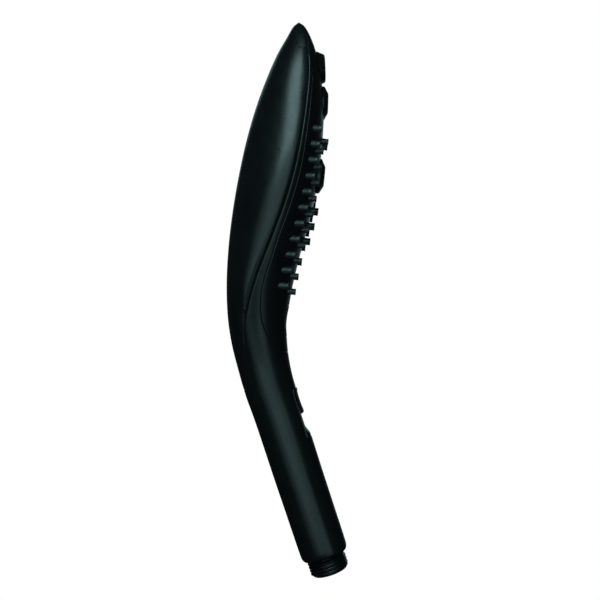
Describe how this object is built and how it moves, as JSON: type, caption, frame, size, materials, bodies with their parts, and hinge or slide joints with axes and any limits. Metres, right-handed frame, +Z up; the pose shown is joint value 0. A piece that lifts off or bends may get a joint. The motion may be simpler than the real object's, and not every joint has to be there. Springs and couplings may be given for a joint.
{
  "type": "handheld shower head",
  "caption": "Black hand shower with a round handle bending into a leaf-shaped head: soft spray nozzles, big massage outlets, a flow slider, a select button and a threaded inlet.",
  "frame": {"origin": "centre of the inlet's end face, on the handle's axis", "axes": "+Z up the handle from the inlet towards the head, +X out of the spray side, and the object is the same on both sides of Y = 0"},
  "size_m": [0.0976, 0.0658, 0.2839],
  "materials": {
    "satin_black_plastic": "satin moulded black",
    "black_silicone": "matte soft black",
    "grey_inner_plastic": "plain moulded grey",
    "white_valve_plastic": "plain moulded white",
    "seal_rubber": "matte black",
    "stainless_steel": "plain"
  },
  "bodies": {
    "shower_body": {"handle_body": "satin_black_plastic", "back_cover": "satin_black_plastic", "face_panel": "satin_black_plastic", "slider_track": "satin_black_plastic", "upper_outlet": "satin_black_plastic", "middle_outlet": "satin_black_plastic", "lower_outlet": "satin_black_plastic", "threaded_inlet": "satin_black_plastic", "nozzle_mat": "black_silicone", "channel_plate": "grey_inner_plastic", "channel_lid": "grey_inner_plastic", "diverter_housing": "grey_inner_plastic", "diverter_lid": "grey_inner_plastic", "valve_housing": "grey_inner_plastic", "flow_limiter": "white_valve_plastic", "lower_water_tube": "white_valve_plastic", "upper_water_tube": "white_valve_plastic", "feed_elbow": "white_valve_plastic", "diverter_o_ring": "seal_rubber", "limiter_o_ring": "seal_rubber", "lower_inlet_o_ring": "seal_rubber", "upper_inlet_o_ring": "seal_rubber", "filter_screen": "stainless_steel", "lid_screw_1": "stainless_steel", "lid_screw_2": "stainless_steel", "lid_screw_3": "stainless_steel", "lid_screw_4": "stainless_steel"},
    "flow_slider": {"slider_knob": "satin_black_plastic", "valve_gate": "white_valve_plastic", "slot_seal": "seal_rubber"},
    "button": {"select_button": "satin_black_plastic", "button_spring": "stainless_steel"},
    "diverter": {"diverter_rotor": "white_valve_plastic"},
    "turbine_top": {"upper_turbine": "white_valve_plastic"},
    "turbine_middle": {"middle_turbine": "white_valve_plastic"}
  },
  "joints": [
    {"name": "slider_slide", "type": "slide", "parent": "shower_body", "child": "flow_slider", "axis": [0, 0, -1], "range_m": [0, 0.007]},
    {"name": "button_press", "type": "slide", "parent": "shower_body", "child": "button", "axis": [-0.9135, 0, 0.4067], "range_m": [0, 0.0025], "stiffness_N_per_m": 900, "springref_m": -0.001},
    {"name": "diverter_turn", "type": "hinge", "parent": "shower_body", "child": "diverter", "pos_m": [0.00865, 0, 0.13887], "axis": [0.9135, 0, -0.4067], "range_deg": [0, 60]},
    {"name": "upper_turbine_spin", "type": "hinge", "parent": "shower_body", "child": "turbine_top", "pos_m": [0.07935, 0, 0.25682], "axis": [0.9613, 0, -0.2756], "continuous": true},
    {"name": "middle_turbine_spin", "type": "hinge", "parent": "shower_body", "child": "turbine_middle", "pos_m": [0.07537, 0, 0.23846], "axis": [0.9397, 0, -0.342], "continuous": true}
  ],
  "couplings": [
    {"joint": "diverter_turn", "follows": "button_press", "rad_per_m": 418.8}
  ]
}
